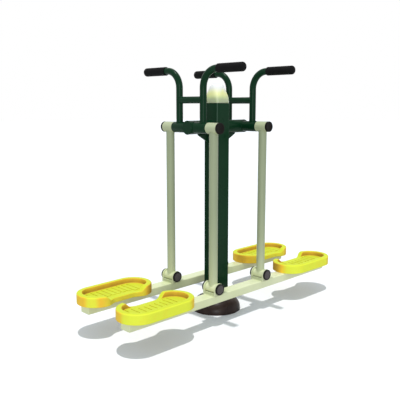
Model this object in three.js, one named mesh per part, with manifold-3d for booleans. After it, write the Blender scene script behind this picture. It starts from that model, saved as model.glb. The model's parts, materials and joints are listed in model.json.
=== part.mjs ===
// Outdoor air walker for two people, in millimetres, +Z up.
// X runs along the foot beams, Y along the axles, and the origin lies on the ground
// under the middle of the post. One square post carries a head tube along X; two cross
// tubes pass through it and hold an axle each. Four arms hang on the axles in two pairs,
// and each pair carries a foot beam with a pedal on either end, so a beam swings level.
// Right is +X, left is -X, rear is +Y and front is -Y.
import * as THREE from 'three';
import { mergeVertices } from 'three/addons/utils/BufferGeometryUtils.js';
import Module from 'manifold-3d';

const wasm = await Module();
wasm.setup();

// Clearances
const seatGap = 0.3;
const runningGap = 0.8;
const cutOverrun = 5;

// Facets of round pieces, as counts
const largeSides = 24;
const tubeSides = 16;
const boltSides = 12;
const bendSteps = 5;
const roundSteps = 2;
const outlineSteps = 6;

// Post and base
const postWidth = 100;
const postWall = 4;
const postCornerRadius = 2;
const postBoreCornerRadius = 1;
const postAboveHead = 133;
const basePlateWidth = 190;
const basePlateThickness = 12;
const basePlateCornerRadius = 10;
const coverMargin = 50;
const coverHeight = 90;
const coverWall = 3;
const coverPostGap = 0.6;
const capHeight = 108;
const capWall = 4;
const capSpigotDepth = 25;
const capHollowHeight = 60;
const anchorDiameter = 16;
const anchorInset = 24;
const anchorHeight = 42;
const anchorNutHeight = 13;
const anchorNutWidth = 24;
const anchorWasherDiameter = 34;
const anchorWasherThickness = 3;

// Head tube, cross tubes, axles and gussets
const topPivotHeight = 1079;
const armSpacing = 406;
const beamSpacing = 343;
const headTubeDiameter = 76;
const headTubeWall = 4;
const headDiscThickness = 3;
const crossTubeDiameter = 60;
const crossTubeWall = 4;
const gussetReach = 101;
const gussetDrop = 58;
const gussetTip = 6;
const gussetThickness = 8;
const axleDiameter = 25;
const axleSeatWidth = 14;
const axleNutHeight = 12;
const axleNutWidth = 36;
const axleWasherDiameter = 40;
const axleWasherThickness = 3;
const axleTip = 2;

// Arms
const armLength = 873;
const armDiameter = 48;
const armWall = 3;
const topSleeveLength = 76;
const topSleeveDiameter = 60;
const topSleeveWall = 4;
const bearingWidth = 15;
const bearingInset = 1;
const bearingSpacerDiameter = 34;
const topCapThickness = 12.5;
const topCapSpigot = 6;
const topCapWall = 3;
const topCapChamfer = 2;
const bottomSleeveDiameter = 54;
const bottomSleeveWall = 5;

// Brackets on the beams, and their pins
const pivotAboveBeam = 34.5;
const lugSpan = 91;
const lugThickness = 8;
const lugRadius = 33;
const bracketWebHeight = 17;
const bracketWebThickness = 6;
const bracketFloor = 5;
const pinDiameter = 20;
const pinTip = 4;
const pinCapDiameter = 62;
const pinCapThickness = 10.5;
const pinCapChamfer = 1;

// Foot beams
const beamLength = 1620;
const beamWidth = 72;
const beamHeight = 47;
const beamWall = 3;
const beamCornerRadius = 5;
const endPlateThickness = 3;
const drainDiameter = 10;

// Pedals
const pedalLength = 450;
const pedalWidth = 218;
const pedalHeight = 55;
const pedalOverhang = 30;
const treadHeight = 28;
const pedalRimWidth = 30;
const scoopDepth = 25;
const scoopFlatLength = 110;
const scoopEaseLength = 70;
const scoopSillLength = 200;
const scoopSlopeLength = 30;
const treadRibHeight = 2;
const treadRibWidth = 27;
const treadRibPitch = 34;
const treadRibZone = 300;
const treadRibMargin = 12;
const pedalPocketDepth = 20;
const pedalPocketWall = 9;
const pedalSpineWidth = 84;

// Handlebars
const handleTubeDiameter = 38;
const handleTubeWall = 3;
const handleSpacing = 186;
const handleBendRadius = 97;
const crossbarRise = 149;
const bendAboveCrossbar = 64;
const gripLead = 12;
const gripDiameter = 48;
const gripLength = 180;
const gripEndRadius = 14;
const gripLipChamfer = 2;
const gripEndWall = 5;

// Shares that set the curves of the post cap and the base cover
const capSideShare = 3.5;
const capFootSquareShare = 26;
const capTopSquareShare = 2;
const coverCurveShare = 2.4;

// Places and sizes worked out from the sizes above
const coverRadius = basePlateWidth / 2 + coverMargin;
const postTop = topPivotHeight + postAboveHead;
const armX = armSpacing / 2;
const beamY = beamSpacing / 2;
const handleY = handleSpacing / 2;
const gripRise = crossbarRise + bendAboveCrossbar + handleBendRadius;
const gripInner = handleY + handleBendRadius + gripLead;
const gripOuter = gripInner + gripLength;
const bottomPivotHeight = topPivotHeight - armLength;
const beamTop = bottomPivotHeight - pivotAboveBeam;
const headTubeHalf = armX + crossTubeDiameter / 2 + seatGap;
const crossTubeHalf = beamY - topSleeveLength / 2 - runningGap;
const axleHalf = beamY + topSleeveLength / 2 + axleTip;
const topBore = topSleeveDiameter - 2 * topSleeveWall;
const bottomBore = bottomSleeveDiameter - 2 * bottomSleeveWall;
const bottomSleeveLength = lugSpan - 2 * lugThickness - 2 * runningGap;
const pedalX = beamLength / 2 + pedalOverhang - pedalLength / 2;
const pedalEndRadius = pedalWidth / 2;
const pedalStraight = pedalLength / 2 - pedalEndRadius;

// Paints and finishes
const green = { color: 0x1f3b2a, roughness: 0.4, metalness: 0.1 };
const cream = { color: 0xd6daae, roughness: 0.42, metalness: 0.05 };
const steel = { color: 0x9a9d9c, roughness: 0.35, metalness: 0.9 };
const darkPlastic = { color: 0x2b2827, roughness: 0.55, metalness: 0 };
const gripRubber = { color: 0x1b1b1c, roughness: 0.85, metalness: 0 };
const coverBrown = { color: 0x2e2522, roughness: 0.6, metalness: 0 };
const pedalYellow = { color: 0xe2d63a, roughness: 0.5, metalness: 0 };
const bronze = { color: 0xa98a4c, roughness: 0.4, metalness: 0.8 };

// Turns a closed geometry into a solid that can be joined and cut. Triangles that
// shrink to a line at a pole are left out.
function solidOf(geometry) {
  const bare = geometry.clone();
  bare.deleteAttribute('normal');
  bare.deleteAttribute('uv');
  const merged = mergeVertices(bare);
  const corners = merged.index.array;
  const kept = [];
  for (let i = 0; i < corners.length; i += 3) {
    const [a, b, c] = [corners[i], corners[i + 1], corners[i + 2]];
    if (a !== b && b !== c && c !== a) kept.push(a, b, c);
  }
  const vertProperties = new Float32Array(merged.attributes.position.array);
  const triVerts = new Uint32Array(kept);
  return new wasm.Manifold(new wasm.Mesh({ numProp: 3, vertProperties, triVerts }));
}

// Turns a solid back into a geometry with flat-shaded normals.
function geometryOf(solid) {
  const mesh = solid.getMesh();
  const geometry = new THREE.BufferGeometry();
  geometry.setAttribute('position', new THREE.BufferAttribute(new Float32Array(mesh.vertProperties), 3));
  geometry.setIndex(new THREE.BufferAttribute(new Uint32Array(mesh.triVerts), 1));
  geometry.computeVertexNormals();
  return geometry;
}

// A named mesh of one solid.
function piece(name, solid, finish) {
  const mesh = new THREE.Mesh(geometryOf(solid), new THREE.MeshStandardMaterial(finish));
  mesh.name = name;
  return mesh;
}

// A group that holds the given objects at a place.
function groupAt(x, y, z, children) {
  const group = new THREE.Group();
  group.position.set(x, y, z);
  group.add(...children);
  return group;
}

function box(sizeX, sizeY, sizeZ) {
  return solidOf(new THREE.BoxGeometry(sizeX, sizeY, sizeZ));
}

function rodY(diameter, length, sides = tubeSides) {
  return solidOf(new THREE.CylinderGeometry(diameter / 2, diameter / 2, length, sides));
}

function rodX(diameter, length, sides = tubeSides) {
  return rodY(diameter, length, sides).rotate([0, 0, 90]);
}

function rodZ(diameter, length, sides = tubeSides) {
  return rodY(diameter, length, sides).rotate([90, 0, 0]);
}

function ringY(outerDiameter, innerDiameter, length) {
  return rodY(outerDiameter, length).subtract(rodY(innerDiameter, length + cutOverrun));
}

// A hexagonal prism of a given width across its flats, standing along Z.
function hexagonZ(widthAcrossFlats, height) {
  return rodZ(widthAcrossFlats / Math.cos(Math.PI / 6), height, 6);
}

// A body of revolution about Y from a profile of [radius, place along Y] points.
function turnedY(profile, sides = tubeSides) {
  const points = profile.map(([radius, along]) => new THREE.Vector2(radius, along));
  return solidOf(new THREE.LatheGeometry(points, sides));
}

// The quarter round of a turned edge, from its side to its face, as profile points.
function roundedEdge(radius, along, edgeRadius) {
  const points = [];
  for (let step = 0; step <= roundSteps; step += 1) {
    const angle = (step / roundSteps) * (Math.PI / 2);
    points.push([
      radius - edgeRadius + edgeRadius * Math.cos(angle),
      along - edgeRadius + edgeRadius * Math.sin(angle),
    ]);
  }
  return points;
}

function roundedRectangle(width, height, radius) {
  const [x, y] = [width / 2 - radius, height / 2 - radius];
  const shape = new THREE.Shape();
  shape.absarc(x, y, radius, 0, Math.PI / 2);
  shape.absarc(-x, y, radius, Math.PI / 2, Math.PI);
  shape.absarc(-x, -y, radius, Math.PI, (3 * Math.PI) / 2);
  shape.absarc(x, -y, radius, (3 * Math.PI) / 2, 2 * Math.PI);
  shape.closePath();
  return shape;
}

// A prism along Z on a flat shape, from z = 0 upward.
function prismZ(shape, height, curveSegments = roundSteps) {
  return solidOf(new THREE.ExtrudeGeometry(shape, { depth: height, bevelEnabled: false, curveSegments }));
}

// A prism along Y on a shape drawn in X and Z, centred on y = 0.
function prismY(shape, width, curveSegments = roundSteps) {
  return prismZ(shape, width, curveSegments).rotate([90, 0, 0]).translate([0, width / 2, 0]);
}

// The four corner places of a square, each with its name
function cornerPlaces(half) {
  return [
    ['front_left', -half, -half],
    ['front_right', half, -half],
    ['rear_left', -half, half],
    ['rear_right', half, half],
  ];
}

// Base plate, its anchors and the domed cover over them
function makeBase() {
  const corners = cornerPlaces(basePlateWidth / 2 - anchorInset);
  const holeDiameter = anchorDiameter + 2 * seatGap;
  const hole = rodZ(holeDiameter, 2 * basePlateThickness + cutOverrun, boltSides);
  const plateOutline = roundedRectangle(basePlateWidth, basePlateWidth, basePlateCornerRadius);
  const plate = corners.reduce(
    (rest, [, x, y]) => rest.subtract(hole.translate([x, y, 0])),
    prismZ(plateOutline, basePlateThickness),
  );

  const washerBottom = basePlateThickness + seatGap;
  const nutBottom = washerBottom + anchorWasherThickness;
  const anchor = rodZ(anchorDiameter, anchorHeight, boltSides)
    .translate([0, 0, anchorHeight / 2])
    .add(rodZ(anchorWasherDiameter, anchorWasherThickness, boltSides)
      .translate([0, 0, washerBottom + anchorWasherThickness / 2]))
    .add(hexagonZ(anchorNutWidth, anchorNutHeight).translate([0, 0, nutBottom + anchorNutHeight / 2]));

  const opening = postWidth + 2 * coverPostGap;
  const cover = coverDome(coverRadius, coverHeight)
    .subtract(coverDome(coverRadius - coverWall, coverHeight - coverWall).translate([0, 0, -seatGap / 2]))
    .subtract(box(opening, opening, 2 * coverHeight + cutOverrun));
  return [
    piece('base_plate', plate, green),
    ...corners.map(([name, x, y]) => piece(`anchor_bolt_${name}`, anchor.translate([x, y, 0]), steel)),
    piece('base_cover', cover, coverBrown),
  ];
}

// The profile of a dome, from the middle of its foot round to its top. The share sets
// how steeply its side rises before it rounds over.
function domeProfile(radius, height, share) {
  const profile = [[0, 0], [radius, 0]];
  const steps = outlineSteps;
  for (let step = 1; step <= steps; step += 1) {
    const angle = (step / steps) * (Math.PI / 2);
    const across = step === steps ? 0 : Math.cos(angle) ** (2 / share);
    profile.push([radius * across, height * Math.sin(angle) ** (2 / share)]);
  }
  return profile;
}

function coverDome(radius, height) {
  return turnedY(domeProfile(radius, height, coverCurveShare), largeSides).rotate([90, 0, 0]);
}

// Square post with a round hole for the head tube
function makePost() {
  const outline = roundedRectangle(postWidth, postWidth, postCornerRadius);
  const boreWidth = postWidth - 2 * postWall;
  outline.holes.push(roundedRectangle(boreWidth, boreWidth, postBoreCornerRadius));
  const foot = basePlateThickness + seatGap;
  const headHole = rodX(headTubeDiameter + 2 * seatGap, postWidth + cutOverrun, largeSides)
    .translate([0, 0, topPivotHeight]);
  const post = prismZ(outline, postTop - foot).translate([0, 0, foot]).subtract(headHole);

  const spigotWidth = boreWidth - 2 * seatGap;
  const hollowWidth = spigotWidth - 2 * capWall;
  const spigotOutline = roundedRectangle(spigotWidth, spigotWidth, postBoreCornerRadius);
  const spigot = prismZ(spigotOutline, capSpigotDepth + capWall)
    .translate([0, 0, -capSpigotDepth - seatGap]);
  const hollow = rodZ(hollowWidth, capHollowHeight + 2 * capSpigotDepth, largeSides);
  const cap = capDome(postWidth, capHeight)
    .add(spigot)
    .subtract(hollow.translate([0, 0, capHollowHeight / 2 - capSpigotDepth]));
  return [
    piece('post', post, green),
    groupAt(0, 0, postTop + seatGap, [piece('post_cap', cap, cream)]),
  ];
}

// The domed post cap: a round dome drawn out so that its foot is a square with rounded
// corners. It turns round quickly above the foot, and its top is a round dome.
function capDome(width, height) {
  const points = domeProfile(width / 2, height, capSideShare).map(([x, y]) => new THREE.Vector2(x, y));
  const dome = new THREE.LatheGeometry(points, largeSides);
  const places = dome.attributes.position;
  for (let i = 0; i < places.count; i += 1) {
    const [x, up, z] = [places.getX(i), places.getY(i), places.getZ(i)];
    const turn = Math.atan2(-z, x);
    const squareness = capTopSquareShare
      + (capFootSquareShare - capTopSquareShare) * (1 - up / height) ** 4;
    const stretch = (Math.abs(Math.cos(turn)) ** squareness + Math.abs(Math.sin(turn)) ** squareness)
      ** (-1 / squareness);
    places.setXYZ(i, x * stretch, -z * stretch, up);
  }
  return solidOf(dome);
}

// Head tube closed by welded end discs, cross tubes with welded axle seats, axles with
// their nuts, and gussets
function makeHead() {
  const crossHole = rodY(crossTubeDiameter + 2 * seatGap, headTubeDiameter + cutOverrun);
  const headTube = rodX(headTubeDiameter, 2 * (headTubeHalf + headDiscThickness), largeSides)
    .subtract(rodX(headTubeDiameter - 2 * headTubeWall, 2 * headTubeHalf, largeSides))
    .subtract(crossHole.translate([armX, 0, 0]))
    .subtract(crossHole.translate([-armX, 0, 0]));

  const gussetTop = -headTubeDiameter / 2 - seatGap;
  const gussetInner = postWidth / 2 + seatGap;
  const gussetOuter = postWidth / 2 + gussetReach;
  const outline = new THREE.Shape();
  outline.moveTo(gussetInner, gussetTop);
  outline.lineTo(gussetInner, gussetTop - gussetDrop);
  outline.lineTo(gussetInner + gussetTip, gussetTop - gussetDrop);
  outline.lineTo(gussetOuter, gussetTop - gussetTip);
  outline.lineTo(gussetOuter, gussetTop);
  outline.closePath();
  const gusset = prismY(outline, gussetThickness);

  const crossBore = crossTubeDiameter - 2 * crossTubeWall;
  const crossTube = rodY(crossTubeDiameter, 2 * crossTubeHalf)
    .subtract(rodY(crossBore, 2 * (crossTubeHalf - axleSeatWidth)))
    .subtract(rodY(axleDiameter + 2 * seatGap, 2 * crossTubeHalf + cutOverrun));
  const nutPlace = axleHalf - axleTip / 2 - axleNutHeight / 2;
  const washerPlace = nutPlace - axleNutHeight / 2 - axleWasherThickness / 2;
  const nut = hexagonZ(axleNutWidth, axleNutHeight).rotate([-90, 0, 0]).translate([0, nutPlace, 0])
    .add(rodY(axleWasherDiameter, axleWasherThickness + seatGap).translate([0, washerPlace, 0]));
  const axle = rodY(axleDiameter, 2 * axleHalf).add(nut).add(nut.rotate([0, 0, 180]));
  return groupAt(0, 0, topPivotHeight, [
    piece('head_tube', headTube, green),
    piece('gusset_left', gusset.rotate([0, 0, 180]), green),
    piece('gusset_right', gusset, green),
    piece('cross_tube_left', crossTube.translate([-armX, 0, 0]), green),
    piece('cross_tube_right', crossTube.translate([armX, 0, 0]), green),
    piece('axle_left', axle.translate([-armX, 0, 0]), steel),
    piece('axle_right', axle.translate([armX, 0, 0]), steel),
  ]);
}

// The line of a handlebar tube: up from the cross tube, round a bend and out to the
// grip. Its sections stand at the ends of the straights and at even steps of the bend.
class HandlePath extends THREE.Curve {
  constructor(rise, bendRadius, reach) {
    super();
    this.rise = rise;
    this.bendRadius = bendRadius;
    this.reach = reach;
    this.steps = bendSteps + 2;
  }

  getPoint(share) {
    const step = share * this.steps;
    const straightTop = this.rise - this.bendRadius;
    if (step <= 1) return new THREE.Vector3(0, 0, straightTop * step);
    const angle = (Math.min(step - 1, bendSteps) / bendSteps) * (Math.PI / 2);
    const out = this.bendRadius * (1 - Math.cos(angle));
    const up = straightTop + this.bendRadius * Math.sin(angle);
    const beyond = Math.max(step - 1 - bendSteps, 0) * (this.reach - this.bendRadius);
    return new THREE.Vector3(0, out + beyond, up);
  }

  getTangent(share) {
    const step = share * this.steps;
    const angle = (Math.min(Math.max(step - 1, 0), bendSteps) / bendSteps) * (Math.PI / 2);
    return new THREE.Vector3(0, Math.sin(angle), Math.cos(angle));
  }

  getPointAt(share) {
    return this.getPoint(share);
  }

  getTangentAt(share) {
    return this.getTangent(share);
  }
}

// A bent rod on the line of one handlebar tube at the rear, with its outer end at a
// given place along Y
function bentRod(diameter, endY) {
  const section = new THREE.Shape();
  section.absarc(0, 0, diameter / 2, 0, 2 * Math.PI);
  const path = new HandlePath(gripRise, handleBendRadius, endY - handleY);
  return solidOf(new THREE.ExtrudeGeometry(section, {
    steps: path.steps,
    curveSegments: tubeSides / 2,
    extrudePath: path,
  })).translate([0, handleY, 0]);
}

// The welded handlebar: two bent tubes with their feet shaped to the cross tube, and a
// crossbar between them
function handlebar() {
  const boreDiameter = handleTubeDiameter - 2 * handleTubeWall;
  const endY = gripOuter - gripEndWall - seatGap;
  const tube = bentRod(handleTubeDiameter, endY);
  const bore = bentRod(boreDiameter, endY + cutOverrun);
  const crossbarPlace = [0, 0, crossbarRise];
  return tube
    .add(tube.rotate([0, 0, 180]))
    .add(rodY(handleTubeDiameter, handleSpacing).translate(crossbarPlace))
    .subtract(bore)
    .subtract(bore.rotate([0, 0, 180]))
    .subtract(rodY(boreDiameter, handleSpacing).translate(crossbarPlace))
    .subtract(rodY(crossTubeDiameter + 2 * seatGap, 2 * handleSpacing));
}

// A grip along Y with a round closed outer end, its open end at y = 0
function grip() {
  const bore = handleTubeDiameter / 2 + seatGap;
  return turnedY([
    [0, gripLength - gripEndWall],
    [bore, gripLength - gripEndWall],
    [bore, 0],
    [gripDiameter / 2 - gripLipChamfer, 0],
    [gripDiameter / 2, gripLipChamfer],
    ...roundedEdge(gripDiameter / 2, gripLength, gripEndRadius),
    [0, gripLength],
  ]);
}

// The handlebar of one person with its grips, on the cross tube of one side
function makeHandlebar(side, x) {
  const placedGrip = grip().translate([0, gripInner, gripRise]);
  return groupAt(x, 0, topPivotHeight, [
    piece(`handlebar_${side}`, handlebar(), green),
    piece(`grip_${side}_front`, placedGrip.rotate([0, 0, 180]), gripRubber),
    piece(`grip_${side}_rear`, placedGrip, gripRubber),
  ]);
}

// One hanging arm with its two bearings on their spacer, its bush and its cap. The
// solids are drawn for the rear, and those at the front are turned half round.
function makeArm(side, end, x) {
  const bottom = [0, 0, -armLength];
  const arm = rodZ(armDiameter, armLength).translate([0, 0, -armLength / 2])
    .add(rodY(topSleeveDiameter, topSleeveLength))
    .add(rodY(bottomSleeveDiameter, bottomSleeveLength).translate(bottom))
    .subtract(rodZ(armDiameter - 2 * armWall, armLength).translate([0, 0, -armLength / 2]))
    .subtract(rodY(topBore, topSleeveLength + cutOverrun))
    .subtract(rodY(bottomBore, bottomSleeveLength + cutOverrun).translate(bottom));

  const bearing = rodY(topBore - 2 * seatGap, bearingWidth);
  const innerPlace = -topSleeveLength / 2 + bearingInset + bearingWidth / 2;
  const nutStack = axleNutHeight + axleWasherThickness + axleTip / 2 + seatGap;
  const outerPlace = topSleeveLength / 2 + axleTip - nutStack - bearingWidth / 2 - seatGap;
  const spacer = rodY(bearingSpacerDiameter, outerPlace - innerPlace)
    .translate([0, (innerPlace + outerPlace) / 2, 0]);
  const bearings = bearing.translate([0, innerPlace, 0])
    .add(bearing.translate([0, outerPlace, 0]))
    .add(spacer)
    .subtract(rodY(axleDiameter + 2 * seatGap, 2 * topSleeveLength));

  const bush = ringY(bottomBore - 2 * seatGap, pinDiameter + 2 * seatGap, bottomSleeveLength)
    .translate(bottom);

  const recess = topCapThickness - topCapWall;
  const spigotRadius = topBore / 2 - seatGap;
  const cap = turnedY([
    [0, recess],
    [spigotRadius - topCapWall, recess],
    [spigotRadius - topCapWall, -topCapSpigot],
    [spigotRadius, -topCapSpigot],
    [spigotRadius, 0],
    [topSleeveDiameter / 2, 0],
    [topSleeveDiameter / 2, topCapThickness - topCapChamfer],
    [topSleeveDiameter / 2 - topCapChamfer, topCapThickness],
    [0, topCapThickness],
  ]).translate([0, topSleeveLength / 2 + seatGap, 0]);

  const turned = (solid) => (end === 'front' ? solid.rotate([0, 0, 180]) : solid);
  return groupAt(x, end === 'front' ? -beamY : beamY, topPivotHeight, [
    piece(`arm_${side}_${end}`, turned(arm), cream),
    piece(`axle_bearings_${side}_${end}`, turned(bearings), steel),
    piece(`pivot_bush_${side}_${end}`, turned(bush), bronze),
    piece(`top_cap_${side}_${end}`, turned(cap), darkPlastic),
  ]);
}

// A bracket that stands on the beam, around a pivot axis along Y through its origin
function bracket() {
  const foot = -pivotAboveBeam + seatGap;
  const outline = new THREE.Shape();
  outline.moveTo(-lugRadius, foot);
  outline.lineTo(lugRadius, foot);
  outline.absarc(0, 0, lugRadius, 0, Math.PI);
  outline.closePath();
  const lug = prismY(outline, lugThickness, tubeSides / 2);
  const lugPlace = lugSpan / 2 - lugThickness / 2;
  const inside = lugSpan - lugThickness;
  const web = box(bracketWebThickness, inside, bracketWebHeight);
  const webPlace = [lugRadius - bracketWebThickness / 2, 0, foot + bracketWebHeight / 2];
  return lug.translate([0, lugPlace, 0])
    .add(lug.translate([0, -lugPlace, 0]))
    .add(box(2 * lugRadius, inside, bracketFloor).translate([0, 0, foot + bracketFloor / 2]))
    .add(web.translate(webPlace))
    .add(web.translate(webPlace).rotate([0, 0, 180]))
    .subtract(rodY(pinDiameter + 2 * seatGap, lugSpan + cutOverrun));
}

// A cap over a pin end, along +Y from its seat on the lug at y = 0
function pinCap() {
  const tipHole = pinDiameter / 2 + seatGap;
  return turnedY([
    [0, pinTip + seatGap],
    [tipHole, pinTip + seatGap],
    [tipHole, 0],
    [pinCapDiameter / 2, 0],
    [pinCapDiameter / 2, pinCapThickness - pinCapChamfer],
    [pinCapDiameter / 2 - pinCapChamfer, pinCapThickness],
    [0, pinCapThickness],
  ]);
}

// How far the scoop draws in the inner side of a pedal at a place along it, as a share
function scoopEase(x) {
  const share = (scoopFlatLength / 2 + scoopEaseLength - Math.abs(x)) / scoopEaseLength;
  const held = Math.min(Math.max(share, 0), 1);
  return held * held * (3 - 2 * held);
}

// The plan of a pedal drawn in by an inset: a long oval whose -Y side has the scoop
function pedalOutline(inset) {
  const radius = pedalEndRadius - inset;
  const points = [];
  for (let step = 0; step <= outlineSteps; step += 1) {
    const angle = (step / outlineSteps) * (Math.PI / 2);
    points.push([pedalStraight + radius * Math.cos(angle), radius * Math.sin(angle)]);
  }
  const outer = [...points, ...points.map(([x, y]) => [-x, y]).reverse()];
  const lower = points.slice(1).map(([x, y]) => [x, -y + scoopDepth * scoopEase(x)]);
  const scoopSteps = 2 * outlineSteps;
  const inner = [];
  for (let step = 1; step < scoopSteps; step += 1) {
    const x = pedalStraight * ((2 * step) / scoopSteps - 1);
    inner.push([x, -radius + scoopDepth * scoopEase(x)]);
  }
  const left = lower.map(([x, y]) => [-x, y]);
  const ring = [...outer, ...left, ...inner, ...lower.reverse()];
  return new THREE.Shape(ring.map(([x, y]) => new THREE.Vector2(x, y)));
}

// A pedal on the beam top, with its scooped side towards -Y
function pedal() {
  const wall = pedalHeight - treadHeight;
  const basin = prismZ(pedalOutline(pedalRimWidth), wall + cutOverrun).translate([0, 0, treadHeight]);

  const sill = new THREE.Shape();
  const sillEnd = scoopSillLength / 2;
  const topEnd = sillEnd + scoopSlopeLength;
  sill.moveTo(-sillEnd, treadHeight);
  sill.lineTo(sillEnd, treadHeight);
  sill.lineTo(topEnd, pedalHeight);
  sill.lineTo(topEnd, pedalHeight + cutOverrun);
  sill.lineTo(-topEnd, pedalHeight + cutOverrun);
  sill.lineTo(-topEnd, pedalHeight);
  sill.closePath();
  const sillCut = prismY(sill, pedalWidth / 2 + cutOverrun)
    .translate([0, -pedalWidth / 4 - cutOverrun / 2, 0]);

  const ribCount = 2 * Math.floor(treadRibZone / treadRibPitch / 2) + 1;
  const ribRoot = treadHeight - treadRibHeight;
  const ribBar = box(treadRibWidth, pedalWidth, 2 * treadRibHeight);
  let ribs = ribBar.translate([0, 0, treadHeight]);
  for (let rib = 1; rib <= ribCount / 2; rib += 1) {
    ribs = ribs.add(ribBar.translate([rib * treadRibPitch, 0, treadHeight]))
      .add(ribBar.translate([-rib * treadRibPitch, 0, treadHeight]));
  }
  const ribField = prismZ(pedalOutline(pedalRimWidth + treadRibMargin), pedalHeight)
    .translate([0, 0, ribRoot]);

  const pocketBlank = prismZ(pedalOutline(pedalPocketWall), pedalPocketDepth + cutOverrun)
    .translate([0, 0, -cutOverrun]);
  const pockets = pocketBlank.subtract(box(pedalLength, pedalSpineWidth, 2 * pedalHeight));

  return prismZ(pedalOutline(0), pedalHeight)
    .subtract(basin)
    .subtract(sillCut)
    .add(ribs.intersect(ribField))
    .subtract(pockets);
}

// A rectangular beam tube with welded end plates and a drain hole under each pedal
function footBeam() {
  const boreWidth = beamWidth - 2 * beamWall;
  const boreHeight = beamHeight - 2 * beamWall;
  const boreLength = beamLength - 2 * endPlateThickness;
  const outer = prismZ(roundedRectangle(beamHeight, beamWidth, beamCornerRadius), beamLength)
    .translate([0, 0, -beamLength / 2]);
  const bore = prismZ(roundedRectangle(boreHeight, boreWidth, beamCornerRadius - beamWall), boreLength)
    .translate([0, 0, -boreLength / 2]);
  const drain = rodZ(drainDiameter, beamHeight, boltSides).translate([0, 0, -beamHeight / 2]);
  return outer.subtract(bore).rotate([0, 90, 0])
    .subtract(drain.translate([pedalX, 0, 0]))
    .subtract(drain.translate([-pedalX, 0, 0]))
    .translate([0, 0, beamTop - beamHeight / 2]);
}

// One foot beam with its brackets, pins, caps and pedals. The solids are drawn for the
// rear, and those at the front are turned half round so that the scoops face the post.
function makeBeam(end) {
  const turn = end === 'front' ? 180 : 0;
  const pin = rodY(pinDiameter, lugSpan + 2 * pinTip);
  const cap = pinCap().translate([0, lugSpan / 2 + seatGap, 0]);
  const pieces = [piece(`foot_beam_${end}`, footBeam(), cream)];
  for (const [side, sign] of [['left', -1], ['right', 1]]) {
    const atPivot = (solid) => solid.translate([sign * armX, 0, bottomPivotHeight]);
    const placedPedal = pedal().rotate([0, 0, turn]).translate([sign * pedalX, 0, beamTop + seatGap]);
    pieces.push(
      piece(`bracket_${side}_${end}`, atPivot(bracket()), cream),
      piece(`pivot_pin_${side}_${end}`, atPivot(pin), steel),
      piece(`pin_cap_${side}_${end}_plus`, atPivot(cap), darkPlastic),
      piece(`pin_cap_${side}_${end}_minus`, atPivot(cap.rotate([0, 0, 180])), darkPlastic),
      piece(`pedal_${side}_${end}`, placedPedal, pedalYellow),
    );
  }
  return groupAt(0, end === 'front' ? -beamY : beamY, 0, pieces);
}

const walker = new THREE.Group();
walker.add(...makeBase(), ...makePost(), makeHead());
for (const [side, x] of [['left', -armX], ['right', armX]]) {
  walker.add(makeHandlebar(side, x));
  for (const end of ['front', 'rear']) walker.add(makeArm(side, end, x));
}
walker.add(makeBeam('front'), makeBeam('rear'));

export default walker;
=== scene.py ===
# Outdoor air walker for two people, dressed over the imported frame. The file follows the
# machine as it is put together. Surfaces are worked out in millimetres in the frame of
# the CAD, +X along the foot beams, +Y along the axles, +Z up, and turned to metres.
import json

import bmesh
import bpy
import numpy as np
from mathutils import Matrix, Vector


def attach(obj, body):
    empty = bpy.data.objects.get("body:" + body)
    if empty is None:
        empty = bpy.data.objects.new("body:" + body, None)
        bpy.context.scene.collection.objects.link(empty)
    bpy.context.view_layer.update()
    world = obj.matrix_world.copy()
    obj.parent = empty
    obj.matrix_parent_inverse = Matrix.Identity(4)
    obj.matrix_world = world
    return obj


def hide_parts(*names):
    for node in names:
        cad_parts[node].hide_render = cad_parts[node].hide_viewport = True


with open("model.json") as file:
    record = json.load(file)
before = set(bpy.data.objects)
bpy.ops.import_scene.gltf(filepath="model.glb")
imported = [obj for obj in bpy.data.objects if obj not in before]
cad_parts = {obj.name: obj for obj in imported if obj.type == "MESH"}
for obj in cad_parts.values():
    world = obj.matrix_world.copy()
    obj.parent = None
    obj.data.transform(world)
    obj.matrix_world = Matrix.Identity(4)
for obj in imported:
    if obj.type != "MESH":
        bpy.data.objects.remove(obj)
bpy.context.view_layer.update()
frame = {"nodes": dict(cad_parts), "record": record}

# The studio. A pale floor under an even white sky whose light is a little cool, with
# the sun almost overhead, so the shadow lies right below the machine. A broad low lamp
# fills from the camera's side and gives the painted tubes their streak.
scene = bpy.context.scene
scene.view_settings.view_transform = "Standard"
photo_width = 400
focal_pixels = 586.52
film_width = 36
camera_turn = 45.352
camera_dip = 9.0786
sky_level = 0.48
noon_level = 0.56
fill_level = 0.42
back_fill_level = 0.14


def colour(written):
    """An sRGB hex colour in linear light. A share s becomes ((s + 0.055) / 1.055) to the
    power 2.4, or s / 12.92 where it is dark."""
    shares = np.array([int(written[i:i + 2], 16) for i in (1, 3, 5)]) / 255
    linear = np.where(shares > 0.04045, ((shares + 0.055) / 1.055) ** 2.4, shares / 12.92)
    return (*linear.tolist(), 1.0)


def add(tree, kind, inputs=None, **settings):
    """Adds a node of one kind, with its settings, and sets or links its inputs."""
    node = tree.nodes.new(kind)
    for name, value in settings.items():
        setattr(node, name, value)
    for key, value in (inputs or {}).items():
        if isinstance(value, bpy.types.NodeSocket):
            tree.links.new(value, node.inputs[key])
        else:
            node.inputs[key].default_value = value
    return node


def seen_directly(tree):
    """The share that is 1 for what the camera, a reflection or a clear piece sees."""
    path = add(tree, "ShaderNodeLightPath")
    either = add(tree, "ShaderNodeMath", {
        0: path.outputs["Is Camera Ray"],
        1: path.outputs["Is Glossy Ray"],
    }, operation="MAXIMUM")
    return add(tree, "ShaderNodeMath", {
        0: either.outputs[0],
        1: path.outputs["Is Transmission Ray"],
    }, operation="MAXIMUM").outputs[0]


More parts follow.
